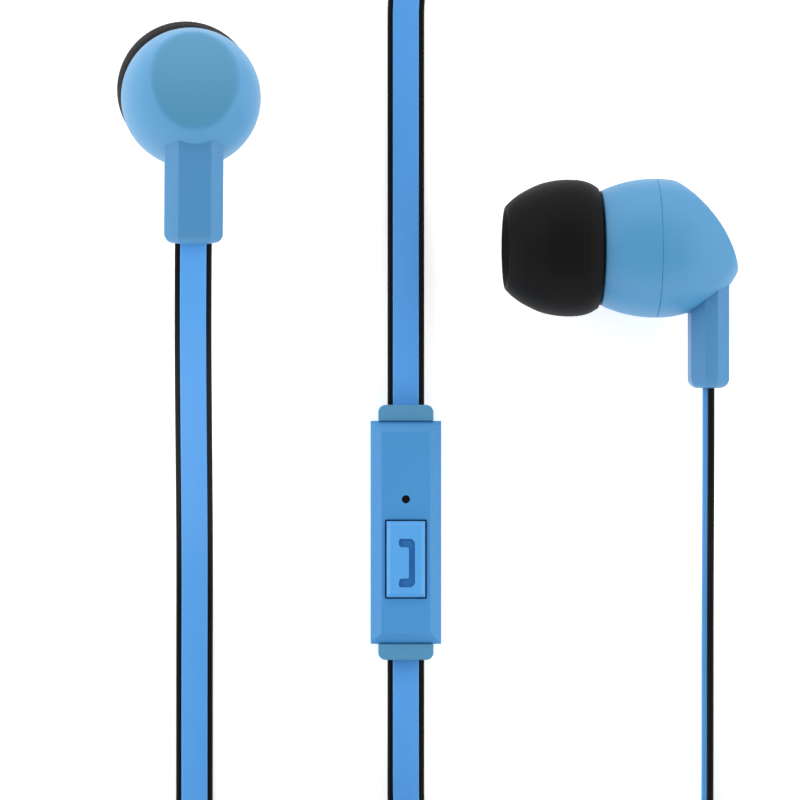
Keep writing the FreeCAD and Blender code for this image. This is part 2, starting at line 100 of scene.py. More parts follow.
table_mesh = bpy.data.meshes.new("table")
table_corners = [(x * table_reach, y * table_reach, 0) for x, y in ((-1, -1), (1, -1), (1, 1), (-1, 1))]
table_mesh.from_pydata(table_corners, [], [(0, 1, 2, 3)])
table = bpy.data.objects.new("table", table_mesh)
bpy.context.collection.objects.link(table)
table_paint = bpy.data.materials.new("table_white")
table_paint.use_nodes = True
table_shader = table_paint.node_tree.nodes["Principled BSDF"]
table_shader.inputs["Base Color"].default_value = table_white
table_shader.inputs["Roughness"].default_value = 0.9
table_shader.inputs["Emission Color"].default_value = white
table_shader.inputs["Emission Strength"].default_value = table_glow
table_mesh.materials.append(table_paint)


# ---- Flat cables ----
# A black flat cable with a raised blue stripe along one face, extruded together in soft plastic.
# It lies on the table, and twists on to its edge where it bends and where it is wound up.

# One group gives every finish its fine variation: a slow drift of colour and of roughness, and a
# fine grain that is raised a few hundredths of a millimetre at most.
slow_drift_scale = 260
roughness_drift = 0.08
grain_height = 0.03 * MM

skin = bpy.data.node_groups.new("moulded_skin", "ShaderNodeTree")
for socket, kind, value in (
    ("Colour", "NodeSocketColor", (0.5, 0.5, 0.5, 1)),
    ("Roughness", "NodeSocketFloat", 0.5),
    ("Grain Per Metre", "NodeSocketFloat", 6000.0),
    ("Grain Depth", "NodeSocketFloat", 0.1),
    ("Drift", "NodeSocketFloat", 0.06),
):
    new = skin.interface.new_socket(socket, in_out="INPUT", socket_type=kind)
    new.default_value = value
for socket, kind in (("Colour", "NodeSocketColor"), ("Roughness", "NodeSocketFloat"),
                     ("Normal", "NodeSocketVector")):
    skin.interface.new_socket(socket, in_out="OUTPUT", socket_type=kind)
skin_in = skin.nodes.new("NodeGroupInput")
skin_out = skin.nodes.new("NodeGroupOutput")
skin_place = skin.nodes.new("ShaderNodeTexCoord")
slow = skin.nodes.new("ShaderNodeTexNoise")
slow.inputs["Scale"].default_value = slow_drift_scale
slow.inputs["Detail"].default_value = 3
fine = skin.nodes.new("ShaderNodeTexNoise")
fine.inputs["Detail"].default_value = 4
shade = skin.nodes.new("ShaderNodeMapRange")
shade.inputs["To Min"].default_value = -1
rough_share = skin.nodes.new("ShaderNodeMath")
rough_share.operation = "MULTIPLY_ADD"
rough_share.inputs[1].default_value = roughness_drift
tint = skin.nodes.new("ShaderNodeHueSaturation")
value_step = skin.nodes.new("ShaderNodeMath")
value_step.operation = "MULTIPLY_ADD"
value_step.inputs[2].default_value = 1
raise_up = skin.nodes.new("ShaderNodeBump")
raise_up.inputs["Distance"].default_value = grain_height
for a, b in (
    (skin_place.outputs["Object"], slow.inputs["Vector"]),
    (skin_place.outputs["Object"], fine.inputs["Vector"]),
    (skin_in.outputs["Grain Per Metre"], fine.inputs["Scale"]),
    (slow.outputs["Fac"], shade.inputs["Value"]),
    (shade.outputs["Result"], value_step.inputs[0]),
    (skin_in.outputs["Drift"], value_step.inputs[1]),
    (value_step.outputs[0], tint.inputs["Value"]),
    (skin_in.outputs["Colour"], tint.inputs["Color"]),
    (tint.outputs["Color"], skin_out.inputs["Colour"]),
    (shade.outputs["Result"], rough_share.inputs[0]),
    (skin_in.outputs["Roughness"], rough_share.inputs[2]),
    (rough_share.outputs[0], skin_out.inputs["Roughness"]),
    (fine.outputs["Fac"], raise_up.inputs["Height"]),
    (skin_in.outputs["Grain Depth"], raise_up.inputs["Strength"]),
    (raise_up.outputs["Normal"], skin_out.inputs["Normal"]),
):
    skin.links.new(a, b)


def moulded(name, colour, roughness, grain=6000.0, depth=0.1, drift=0.06, **sockets):
    """A material of one colour through the shared skin; other sockets are set on the shader itself."""
    material = bpy.data.materials.new(name)
    material.use_nodes = True
    tree = material.node_tree
    shader = tree.nodes["Principled BSDF"]
    group = tree.nodes.new("ShaderNodeGroup")
    group.node_tree = skin
    group.inputs["Colour"].default_value = (*colour, 1)
    group.inputs["Roughness"].default_value = roughness
    group.inputs["Grain Per Metre"].default_value = grain
    group.inputs["Grain Depth"].default_value = depth
    group.inputs["Drift"].default_value = drift
    tree.links.new(group.outputs["Colour"], shader.inputs["Base Color"])
    tree.links.new(group.outputs["Roughness"], shader.inputs["Roughness"])
    tree.links.new(group.outputs["Normal"], shader.inputs["Normal"])
    for socket, value in sockets.items():
        shader.inputs[socket.replace("_", " ")].default_value = value
    return material


cable_w = 3.45
cable_t = 1.1
cable_lift = 0.01
stripe_w = 2.4
stripe_base = 0.1
stripe_round = 0.1
stripe_ease = 0.03
stripe_foot = 0.02
stripe_from = 6
edge_round = 0.16
edge_ease = 0.3 * edge_round
coil_pitch = 1.3
coil_layer = 3.5
coil_mid_r = 16.9
coil_points = 16
coil_climb = 5
left_turns = 2.278
main_turns = 7.25
on_edge = 90

cable_black = moulded("cable_black", (0.003, 0.003, 0.0035), 0.42, grain=9000, depth=0.12, drift=0.1,
                      Specular_IOR_Level=0.15)
cable_blue = moulded("cable_blue", (0.085, 0.32, 0.73), 0.4, grain=9000, depth=0.08, drift=0.03,
                     Specular_IOR_Level=0.25)

# Each route's points are in millimetres. A lie is the cable's angle at each of them: 0 is flat
# with the stripe up, and 90 or -90 is on edge.
right_upper = [(26.25, -17.3, 6.05), (26.25, -24.2, 6.05), (26.25, -38.0, 1.9), (26.25, -54.5, 1.73),
               (26.2, -60.0, 1.73), (36.94, -66.2, 1.73), (46.9, -60.0, 1.73), (45.9, -38.0, 1.73),
               (45.2, -12.0, 1.73),
               (44.4, 8.0, 1.73), (41.0, 20.5, 1.73), (31.0, 26.4, 1.73), (13.5, 27.6, 1.73),
               (2.4, 27.6, 1.6), (-2.05, 22.5, 0.7), (-2.05, 13.0, 0.6), (-2.05, 2.5, 0.6),
               (-2.05, -12.0, 2.4), (-2.05, -18.85, 2.5)]
right_upper_lie = [-on_edge] * 13 + [-60, 0, 0, 0, 0, 0]
right_lower = [(-2.05, -42.75, 2.5), (-2.05, -49.5, 2.4), (-2.05, -60.0, 0.7), (1.3, -68.5, 1.3),
               (4.4, -77.0, 1.73), (5.15, -86.5, 1.73), (4.47, -97.3, 1.73), (7.37, -102.3, 2.3),
               (12.13, -105.05, 2.5)]
right_lower_lie = [0, 0, 5, 55] + [on_edge] * 5
left_upper = [(-21.78, -3.83, 18.01), (-21.84, -10.69, 17.27), (-21.85, -20.8, 10.8), (-21.85, -32.0, 2.4),
              (-21.9, -44.0, 0.62), (-21.9, -54.5, 0.6), (-21.9, -59.5, 0.6), (-27.6, -67.8, 1.5),
              (-33.3, -75.4, 1.73)]
left_upper_lie = [0, 0, 0, 0, 0, 0, 3, 55, on_edge]
left_lower = [(-4.93, -100.75, 4.6), (6.62, -103.6, 2.6), (11.38, -106.35, 2.5)]
main_start = [(22.15, -111.7, 2.5), (26.5, -113.1, 2.3), (36.0, -112.9, 1.76), (43.8, -108.2, 1.73),
              (46.3, -99.5, 1.73)]
main_end = [(19.8, -68.0, 6.0), (9.0, -67.1, 10.2), (0.8, -67.0, 10.85)]


def coil_turns(centre, turns, from_angle):
    """A coil wound inwards on the table, then outwards on top of itself, both ends outside."""
    spread = coil_pitch * turns / 4
    count = round(turns * coil_points)
    points = []
    for i in range(count + 1):
        wound = turns * i / count
        layer = abs(wound - turns / 2) / (turns / 2)
        radius = coil_mid_r - spread + 2 * spread * layer
        angle = math.radians(from_angle) + 2 * math.pi * wound
        climb = min(1, max(0, (wound - turns / 2) * coil_climb + 0.5))
        points.append((centre[0] + radius * math.cos(angle), centre[1] + radius * math.sin(angle),
                       cable_w / 2 + coil_layer * climb))
    return points


def line_through(points, fineness=10):
    """The smooth line that a route's points pull into shape, read from a NURBS spline."""
    curve = bpy.data.curves.new("route", "CURVE")
    curve.dimensions = "3D"
    curve.resolution_u = fineness
    spline = curve.splines.new("NURBS")
    spline.points.add(len(points) - 1)
    for point, place in zip(spline.points, points):
        point.co = (*place, 1)
    spline.order_u = 3
    spline.use_endpoint_u = True
    holder = bpy.data.objects.new("route", curve)
    mesh = bpy.data.meshes.new_from_object(holder)
    line = [v.co.copy() for v in mesh.vertices]
    bpy.data.objects.remove(holder)
    bpy.data.curves.remove(curve)
    bpy.data.meshes.remove(mesh)
    return line


def cable_outline():
    """The cable's section, width by thickness: a rounded black strip under a narrower stripe."""
    half_w = cable_w / 2
    low = -cable_t / 2
    high = cable_t / 2
    r = edge_round
    half_s = stripe_w / 2
    side = [(half_w - r, low), (half_w - edge_ease, low + edge_ease), (half_w, low + r),
            (half_w, stripe_base - r), (half_w - edge_ease, stripe_base - edge_ease),
            (half_w - r, stripe_base), (half_s + stripe_foot, stripe_base),
            (half_s, stripe_base + stripe_ease), (half_s, high - stripe_round),
            (half_s - stripe_ease, high - stripe_ease), (half_s - stripe_round, high)]
    return side + [(-x, y) for x, y in reversed(side)]


def make_cable(name, route, lie):
    """The cable's skin along its line, turned as it lies."""
    line = line_through(route)
    angles = [p.x for p in line_through([(a, 0, 0) for a in lie])]
    outline = cable_outline()
    count = len(outline)
    body = bmesh.new()
    along = body.loops.layers.uv.new("UVMap")
    rings = []
    path = []
    lengths = [0.0]
    for i, place in enumerate(line):
        way = (line[min(i + 1, len(line) - 1)] - line[max(i - 1, 0)]).normalized()
        side = way.cross(Vector((0, 0, 1))).normalized()
        up = side.cross(way)
        turn = math.radians(angles[i])
        wide = side * math.cos(turn) + up * math.sin(turn)
        thin = up * math.cos(turn) - side * math.sin(turn)
        half_height = (cable_w * abs(math.sin(turn)) + cable_t * math.cos(turn)) / 2
        middle = Vector((place.x, place.y, max(place.z, half_height + cable_lift)))
        rings.append([body.verts.new((middle + wide * w + thin * t) * MM) for w, t in outline])
        path.append(middle * MM)
        if i:
            lengths.append(lengths[-1] + (path[-1] - path[-2]).length)
    for i in range(len(rings) - 1):
        for k in range(count):
            n = (k + 1) % count
            face = body.faces.new((rings[i][k], rings[i][n], rings[i + 1][n], rings[i + 1][k]))
            face.material_index = 1 if stripe_from <= k < count - 1 - stripe_from else 0
            face.smooth = True
            for loop, (a, b) in zip(face.loops, ((i, k), (i, n), (i + 1, n), (i + 1, k))):
                loop[along].uv = (lengths[a], b / count)
    body.faces.new(rings[0][::-1])
    body.faces.new(rings[-1])
    bmesh.ops.recalc_face_normals(body, faces=body.faces)
    mesh = bpy.data.meshes.new(name)
    body.to_mesh(mesh)
    body.free()
    mesh.set_sharp_from_angle(angle=math.radians(50))
    mesh.materials.append(cable_black)
    mesh.materials.append(cable_blue)
    piece = bpy.data.objects.new(name, mesh)
    bpy.context.collection.objects.link(piece)
    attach(piece, "headset")
    return piece, path, lengths[-1]


def middle_of(node):
    """The middle of a node's box, in millimetres."""
    low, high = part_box(node)
    return (Vector(low) + Vector(high)) / 2 / MM


left_coil = coil_turns(middle_of("left_cable_coil"), left_turns, 180)
main_coil = coil_turns(middle_of("main_cable_coil"), main_turns, 0)
left_route = left_upper + left_coil + left_lower
left_lie = left_upper_lie + [on_edge] * (len(left_coil) + len(left_lower))
main_route = main_start + main_coil + main_end


def laid_cable(name, route, lie, stands_for):
    """One cable from end to end: its skin made, and the nodes that it stands for hidden."""
    piece, path, length = make_cable(name, route, lie)
    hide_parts(*stands_for)


laid_cable("right_branch_upper", right_upper, right_upper_lie, ["right_cable_upper"])
laid_cable("left_branch", left_route, left_lie,
           ["left_cable_upper", "left_cable_coil", "left_cable_lower"])


# ---- Earbud shells ----
# Each earbud's shell is two mouldings of blue plastic, welded on a fine seam. The front one carries
# the nozzle; the rear one ends in a slanted oval face with a soft edge.

left_place = (Matrix.Translation((-23.1, 11.25, 0.52)) @ Matrix.Rotation(math.radians(4.3), 4, "Y")
              @ Matrix.Rotation(math.radians(6.2), 4, "X") @ Matrix.Rotation(math.radians(-90), 4, "Y"))
right_place = Matrix.Translation((7.27, -4.2, 7.88)) @ Matrix.Rotation(math.radians(5.5), 4, "Y")
bud_places = {"left": left_place, "right": right_place}
shell_r = 6.5
shell_wall = 0.9
seam_x = 14.1
front_semi = 9.07
rear_semi = 8.2
face_r = 16.0
face_x = 6.46
face_y = -6.53
face_softness = 110
face_shade_edge_w = 0.6
face_shade_edge_share = 0.4
front_start_x = 8.95
front_steps = 24
rear_steps = 72
seam_groove = 0.06
lathe_steps = 128
shell_colour = (0.07, 0.26, 0.475)
# The slanted face is given a darker teal: painted shade, standing in for the dimmer light that a face turned
# to the camera and the roof gets.
face_shade_colour = (0.062, 0.235, 0.385)

shell_blue = moulded("shell_blue", shell_colour, 0.42, grain=5200, depth=0.16, drift=0.02,
                     Specular_IOR_Level=0.3)
shell_tree = shell_blue.node_tree
shell_group = next(n for n in shell_tree.nodes if n.type == "GROUP")
# The "face" attribute is the mask of that painted shade, soft at the face's edge.
face_shade_mark = shell_tree.nodes.new("ShaderNodeAttribute")
face_shade_mark.attribute_name = "face"
face_shade_mix = shell_tree.nodes.new("ShaderNodeMix")
face_shade_mix.data_type = "RGBA"
face_shade_mix.inputs["A"].default_value = (*shell_colour, 1)
face_shade_mix.inputs["B"].default_value = (*face_shade_colour, 1)
shell_tree.links.new(face_shade_mark.outputs["Fac"], face_shade_mix.inputs["Factor"])
shell_tree.links.new(face_shade_mix.outputs["Result"], shell_group.inputs["Colour"])


def finished(name, body, place, materials, rides, stands_for, sharp=35):
    """A closed mesh in millimetres made a piece of the headset: put in place, and riding on its body."""
    bmesh.ops.remove_doubles(body, verts=body.verts, dist=0.0005)
    bmesh.ops.recalc_face_normals(body, faces=body.faces)
    if body.calc_volume(signed=True) < 0:
        bmesh.ops.reverse_faces(body, faces=body.faces)
    body.transform(Matrix.Scale(MM, 4) @ place)
    mesh = bpy.data.meshes.new(name)
    body.to_mesh(mesh)
    body.free()
    mesh.shade_smooth()
    mesh.set_sharp_from_angle(angle=math.radians(sharp))
    for material in materials:
        mesh.materials.append(material)
    piece = bpy.data.objects.new(name, mesh)
    bpy.context.collection.objects.link(piece)
    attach(piece, rides)
    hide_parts(*stands_for)
    return piece


def swept(points, steps):
    """More points on a smooth line through a few, by Catmull and Rom's rule."""
    line = []
    for i in range(len(points) - 1):
        p0 = points[max(i - 1, 0)]
        p1 = points[i]
        p2 = points[i + 1]
        p3 = points[min(i + 2, len(points) - 1)]
        for k in range(steps):
            t = k / steps
            line.append(tuple(0.5 * (2 * b + (c - a) * t + (2 * a - 5 * b + 4 * c - d) * t * t
                                     + (3 * b - a - 3 * c + d) * t ** 3)
                              for a, b, c, d in zip(p0, p1, p2, p3)))
    line.append(points[-1])
    return line


def lathed(outline, steps=lathe_steps):
    """A closed outline of (x, radius) turned about the x axis; points on the axis become one pole."""
    body = bmesh.new()
    rings = []
    for x, r in outline:
        if r < 0.001:
            rings.append([body.verts.new((x, 0, 0))])
        else:
            turns = [2 * math.pi * k / steps for k in range(steps)]
            rings.append([body.verts.new((x, r * math.cos(turn), r * math.sin(turn))) for turn in turns])
    for ring, after in zip(rings, rings[1:] + rings[:1]):
        for k in range(steps):
            n = (k + 1) % steps
            corners = [ring[k % len(ring)], ring[n % len(ring)], after[n % len(after)], after[k % len(after)]]
            kept = [v for i, v in enumerate(corners) if v not in corners[:i]]
            if len(kept) > 2:
                body.faces.new(kept)
    return body


def front_shell():
    """The front moulding, turned: a half ellipse outside, the driver's seat inside, and the nozzle."""
    outer = []
    for i in range(front_steps + 1):
        x = front_start_x + (seam_x - front_start_x) * i / front_steps
        outer.append((x, shell_r * math.sqrt(1 - ((x - seam_x) / front_semi) ** 2)))
    outer = outer[:-1] + [(seam_x - seam_groove, shell_r), (seam_x, shell_r - seam_groove)]
    inside = [(seam_x, 5.5), (14.7, 5.5), (14.7, 5.05), (11, 5.05), (11, 4.2), (9.85, 4.2), (9.85, 1.35),
              (3.6, 1.35), (3.55, 1.74), (3.5, 1.76), (3.4, 1.85)]
    nozzle = [(3.4, 2.0), (3.46, 2.14), (3.6, 2.2), (4.45, 2.2), (4.57, 2.14), (4.6, 2.0), (4.62, 1.92),
              (4.7, 1.9), (8.1, 1.9), (8.35, 2.1), (8.6, 2.5), (8.8, 2.9), (8.85, 3.1), (8.85, 5.1),
              (8.88, 5.2)]
    return lathed(outer + inside + nozzle)


def rear_reach(angle, turn, inset):
    """How far the rear shell is from the seam's centre in one direction, and how much of the face's painted
    shade it takes there.
    """
    dx = math.cos(angle)
    dy = math.sin(angle) * math.cos(turn)
    dz = math.sin(angle) * math.sin(turn)
    radius = shell_r - inset
    semi = rear_semi - inset
    dome = 1 / math.sqrt((dx / semi) ** 2 + (dy * dy + dz * dz) / radius ** 2)
    flat = dx * dx + dy * dy
    ax = seam_x - face_x
    b = dx * ax - dy * face_y
    c = ax * ax + face_y ** 2 - (face_r - inset) ** 2
    face = (-b + math.sqrt(b * b - flat * c)) / flat if flat > 1e-9 else 1e3
    both = (dome ** -face_softness + face ** -face_softness) ** (-1 / face_softness)
    share = min(1, max(0, face_shade_edge_share + (dome - face) / face_shade_edge_w))
    return (both * dx, both * dy, both * dz), share * share * (3 - 2 * share)


def rear_shell():
    """The rear moulding: an outer and an inner skin, joined at the seam by a fine step."""
    body = bmesh.new()
    face_shade_layer = body.verts.layers.float.new("face")
    skins = []
    for inset in (0, shell_wall):
        rings = []
        for i in range(rear_steps + 1):
            angle = math.radians(90) * (1 - i / rear_steps)
            ring = []
            for k in range(lathe_steps if i < rear_steps else 1):
                place, share = rear_reach(max(angle, 1e-4), 2 * math.pi * k / lathe_steps, inset)
                vertex = body.verts.new((place[0] + seam_x, place[1], place[2]))
                # Each outer vertex carries how much of the face's painted shade it takes.
                vertex[face_shade_layer] = share if inset == 0 else 0
                ring.append(vertex)
            rings.append(ring)
        for ring, after in zip(rings, rings[1:]):
            for k in range(lathe_steps):
                n = (k + 1) % lathe_steps
                corners = [ring[k], ring[n], after[n % len(after)], after[k % len(after)]]
                body.faces.new([v for j, v in enumerate(corners) if v not in corners[:j]])
        skins.append(rings[0])
    lip = []
    for vertex in skins[0]:
        away = Vector((0, vertex.co.y, vertex.co.z)).normalized()
        lip.append(body.verts.new(vertex.co - away * seam_groove))
        vertex.co.x += seam_groove
    for outer, inner in ((skins[0], lip), (lip, skins[1])):
        for k in range(lathe_steps):
            n = (k + 1) % lathe_steps
            body.faces.new((outer[k], outer[n], inner[n], inner[k]))
    return body


for side, place in bud_places.items():
    finished(side + "_front_shell", front_shell(), place, [shell_blue], "headset",
             [side + "_front_housing"])
    finished(side + "_rear_shell", rear_shell(), place, [shell_blue], "headset",
             [side + "_rear_housing"], sharp=50)


# ---- Ear tips ----
# A soft black silicone mushroom: a skirt that folds back round a tube, which grips the nozzle.
# A fine mould line runs round the skirt, and the mouth is rolled over.

tip_outer = [(0.0, 3.9), (0.55, 4.46), (1.57, 5.2), (3.13, 5.95), (4.5, 6.29), (5.74, 6.4), (7.0, 6.33),
             (7.9, 6.08), (8.6, 5.66)]
tip_inner = [(8.45, 5.1), (7.66, 5.58), (5.74, 5.85), (4.2, 5.53), (3.31, 4.3), (3.5, 3.2), (3.9, 3.0)]
tip_throat = [(3.0, 2.25), (1.65, 2.62), (0.6, 3.18), (0.12, 3.62)]
mould_line_x = 6.7
mould_line_h = 0.035
mould_line_w = 0.05
mould_line_room = 0.2
mould_line_steps = 24

tip_black = moulded("tip_black", (0.004, 0.004, 0.0045), 0.55, grain=3800, depth=0.14, drift=0.12,
                    Specular_IOR_Level=0.08)


def ear_tip():
    """The tip, turned: skirt, rolled edge, the folded inside, and the tube that grips the nozzle."""
    outer = swept(tip_outer, 14)
    near = [i for i, (x, r) in enumerate(outer) if x < mould_line_x - mould_line_room]
    far = [i for i, (x, r) in enumerate(outer) if x > mould_line_x + mould_line_room]
    (xa, ra), (xb, rb) = outer[near[-1]], outer[far[0]]
    line = []
    for k in range(1, mould_line_steps):
        x = xa + (xb - xa) * k / mould_line_steps
        raised = mould_line_h * math.exp(-((x - mould_line_x) / mould_line_w) ** 2)
        line.append((x, ra + (rb - ra) * k / mould_line_steps + raised))
    skirt = outer[:near[-1] + 1] + line + outer[far[0]:]
    edge = [(8.68, 5.5), (8.68, 5.3), (8.6, 5.14)]
    core = [(7.9, 3.0), (7.98, 2.92), (8.0, 2.8), (8.0, 2.35), (7.9, 2.25)]
    roll = [(0.02, 3.7), (0.0, 3.8)]
    return lathed(skirt + edge + swept(tip_inner, 8) + core + swept(tip_throat, 8) + roll)


for side, place in bud_places.items():
    finished(side + "_tip", ear_tip(), place, [tip_black], side + "_tip",
             [side + "_ear_tip"], sharp=60)


# ---- Nozzle meshes ----
# A disc of fine woven steel wire across each nozzle's mouth keeps wax out of the driver.
# Two sets of parallel wires cross, and a pressed ring holds their ends.

wire_r = 0.035
wire_pitch = 0.26
screen_r = 1.68
screen_x = 3.52
rim_share = 1.6

mesh_steel = moulded("mesh_steel", (0.42, 0.42, 0.43), 0.32, grain=12000, depth=0.1, drift=0.08,
                     Metallic=1.0)


def tree_of(name, sizes):
    """A geometry tree with named inputs: the tree, its input node and its output node."""
    tree = bpy.data.node_groups.new(name, "GeometryNodeTree")
    tree.interface.new_socket("Geometry", in_out="OUTPUT", socket_type="NodeSocketGeometry")
    for size, value in sizes.items():
        kind = "NodeSocketInt" if isinstance(value, int) else "NodeSocketFloat"
        tree.interface.new_socket(size, in_out="INPUT", socket_type=kind).default_value = value
    return tree, tree.nodes.new("NodeGroupInput"), tree.nodes.new("NodeGroupOutput")


def grown(name, tree, sizes):
    """The plain mesh that a geometry tree makes with these sizes, as a bmesh in millimetres."""
    holder = bpy.data.objects.new(name, bpy.data.meshes.new(name))
    bpy.context.collection.objects.link(holder)
    maker = holder.modifiers.new("maker", "NODES")
    maker.node_group = tree
    for item in tree.interface.items_tree:
        if item.in_out == "INPUT" and item.name in sizes:
            maker[item.identifier] = sizes[item.name]
    seen = holder.evaluated_get(bpy.context.evaluated_depsgraph_get())
    mesh = bpy.data.meshes.new_from_object(seen)
    holder.modifiers.clear()
    bpy.data.objects.remove(holder)
    body = bmesh.new()
    body.from_mesh(mesh)
    bpy.data.meshes.remove(mesh)
    return body


def link_up(tree, *pairs):
    """Links in a node tree, each from an output to an input."""
    for a, b in pairs:
        tree.links.new(a, b)


screen, screen_in, screen_out = tree_of("woven_screen", {"Radius": 1.0, "Pitch": 0.1, "Wire": 0.01})
count = screen.nodes.new("ShaderNodeMath")
count.operation = "DIVIDE"
whole = screen.nodes.new("ShaderNodeMath")
whole.operation = "MULTIPLY_ADD"
whole.inputs[1].default_value = 2
whole.inputs[2].default_value = -1
start = screen.nodes.new("ShaderNodeMath")
start.operation = "MULTIPLY_ADD"
start.inputs[1].default_value = -1
start_place = screen.nodes.new("ShaderNodeCombineXYZ")
step_place = screen.nodes.new("ShaderNodeCombineXYZ")
row = screen.nodes.new("GeometryNodeMeshLine")
wire = screen.nodes.new("GeometryNodeMeshCylinder")
wire.inputs["Vertices"].default_value = 6
wire.inputs["Depth"].default_value = 2
set_wires = screen.nodes.new("GeometryNodeInstanceOnPoints")
place_at = screen.nodes.new("GeometryNodeInputPosition")
parted = screen.nodes.new("ShaderNodeSeparateXYZ")
squared = screen.nodes.new("ShaderNodeMath")
squared.operation = "MULTIPLY"
r_squared = screen.nodes.new("ShaderNodeMath")
r_squared.operation = "MULTIPLY"
left_over = screen.nodes.new("ShaderNodeMath")
left_over.operation = "SUBTRACT"
chord = screen.nodes.new("ShaderNodeMath")
chord.operation = "SQRT"
wire_scale = screen.nodes.new("ShaderNodeCombineXYZ")
wire_scale.inputs["X"].default_value = 1
wire_scale.inputs["Y"].default_value = 1
crossed = screen.nodes.new("GeometryNodeTransform")
crossed.inputs["Rotation"].default_value = (math.pi / 2, 0, 0)
aside = screen.nodes.new("ShaderNodeCombineXYZ")
rim_line = screen.nodes.new("GeometryNodeCurvePrimitiveCircle")
rim_line.inputs["Resolution"].default_value = 64
rim_round = screen.nodes.new("GeometryNodeCurvePrimitiveCircle")
rim_round.inputs["Resolution"].default_value = 8
rim_scale = screen.nodes.new("ShaderNodeMath")
rim_scale.operation = "MULTIPLY"
rim_scale.inputs[1].default_value = rim_share
rim = screen.nodes.new("GeometryNodeCurveToMesh")
rim_turned = screen.nodes.new("GeometryNodeTransform")
rim_turned.inputs["Rotation"].default_value = (0, math.pi / 2, 0)
together = screen.nodes.new("GeometryNodeJoinGeometry")
real = screen.nodes.new("GeometryNodeRealizeInstances")
painted = screen.nodes.new("GeometryNodeSetMaterial")
painted.inputs["Material"].default_value = mesh_steel
link_up(screen,
        (screen_in.outputs["Radius"], count.inputs[0]), (screen_in.outputs["Pitch"], count.inputs[1]),
        (count.outputs[0], whole.inputs[0]), (whole.outputs[0], row.inputs["Count"]),
        (screen_in.outputs["Radius"], start.inputs[0]), (screen_in.outputs["Pitch"], start.inputs[2]),
        (start.outputs[0], start_place.inputs["Y"]), (screen_in.outputs["Pitch"], step_place.inputs["Y"]),
        (start_place.outputs[0], row.inputs["Start Location"]),
        (step_place.outputs[0], row.inputs["Offset"]),
        (screen_in.outputs["Wire"], wire.inputs["Radius"]),
        (row.outputs[0], set_wires.inputs["Points"]), (wire.outputs["Mesh"], set_wires.inputs["Instance"]),
        (place_at.outputs[0], parted.inputs[0]),
        (parted.outputs["Y"], squared.inputs[0]), (parted.outputs["Y"], squared.inputs[1]),
        (screen_in.outputs["Radius"], r_squared.inputs[0]),
        (screen_in.outputs["Radius"], r_squared.inputs[1]),
        (r_squared.outputs[0], left_over.inputs[0]), (squared.outputs[0], left_over.inputs[1]),
        (left_over.outputs[0], chord.inputs[0]), (chord.outputs[0], wire_scale.inputs["Z"]),
        (wire_scale.outputs[0], set_wires.inputs["Scale"]),
        (screen_in.outputs["Wire"], aside.inputs["X"]), (aside.outputs[0], crossed.inputs["Translation"]),
        (set_wires.outputs[0], crossed.inputs["Geometry"]),
        (screen_in.outputs["Radius"], rim_line.inputs["Radius"]),
        (screen_in.outputs["Wire"], rim_scale.inputs[0]), (rim_scale.outputs[0], rim_round.inputs["Radius"]),
        (rim_line.outputs["Curve"], rim.inputs["Curve"]),
        (rim_round.outputs["Curve"], rim.inputs["Profile Curve"]),
        (rim.outputs[0], rim_turned.inputs["Geometry"]),
        (set_wires.outputs[0], together.inputs[0]), (crossed.outputs[0], together.inputs[0]),
        (rim_turned.outputs[0], together.inputs[0]),
        (together.outputs[0], real.inputs[0]), (real.outputs[0], painted.inputs["Geometry"]),
        (painted.outputs[0], screen_out.inputs[0]))

for side, place in bud_places.items():
    woven = grown("screen", screen, {"Radius": screen_r, "Pitch": wire_pitch, "Wire": wire_r})
    finished(side + "_screen", woven, place @ Matrix.Translation((screen_x, 0, 0)), [mesh_steel], "headset",
             [side + "_nozzle_mesh"])


# ---- Drivers ----
# A 10 mm moving-coil driver sits in each shell: a punched cap, a steel cup and pot, a nickelled
# magnet with its plate, a copper voice coil on a clear film cone, and a small green terminal board.

driver_steel = moulded("driver_steel", (0.33, 0.33, 0.34), 0.35, grain=9000, depth=0.12, drift=0.1,
                       Metallic=1.0)
magnet_nickel = moulded("magnet_nickel", (0.56, 0.53, 0.5), 0.22, grain=9000, depth=0.05, drift=0.06,
                        Metallic=1.0)
copper = moulded("copper", (0.72, 0.28, 0.12), 0.3, grain=15000, depth=0.4, drift=0.1, Metallic=1.0)
film_clear = moulded("film_clear", (0.62, 0.6, 0.55), 0.25, grain=3000, depth=0.1, drift=0.1,
                     Coat_Weight=0.3)
board_green = moulded("board_green", (0.02, 0.16, 0.05), 0.35, grain=4200, depth=0.25, drift=0.2,
                      Coat_Weight=0.4)
lead_black = moulded("lead_black", (0.01, 0.01, 0.012), 0.45, grain=9000, depth=0.1, drift=0.1)

driver_finish = {"driver_cap": driver_steel, "driver_frame": driver_steel, "driver_yoke": driver_steel,
                 "driver_magnet": magnet_nickel, "driver_top_plate": driver_steel, "voice_coil": copper,
                 "diaphragm": film_clear, "terminal_board": board_green, "driver_leads": lead_black}


def refinish(node, material):
    """A node whose shape is right gets a better material in every slot."""
    slots = nodes[node].material_slots
    if not slots:
        nodes[node].data.materials.append(material)
    for place in slots:
        place.material = material


for side in bud_places:
    for piece_name, material in driver_finish.items():
        refinish(side + "_" + piece_name, material)


# ---- Stems ----
# Each stem is a flat moulded block, bevelled on its long edges, with a round neck up into the shell.
# The flat cable comes out of its foot.

weld_gap = 0.002 * MM
flat_angle = 2

stem_blue = moulded("stem_blue", (0.064, 0.232, 0.45), 0.42, grain=5200, depth=0.16, drift=0.02,
                    Specular_IOR_Level=0.3)


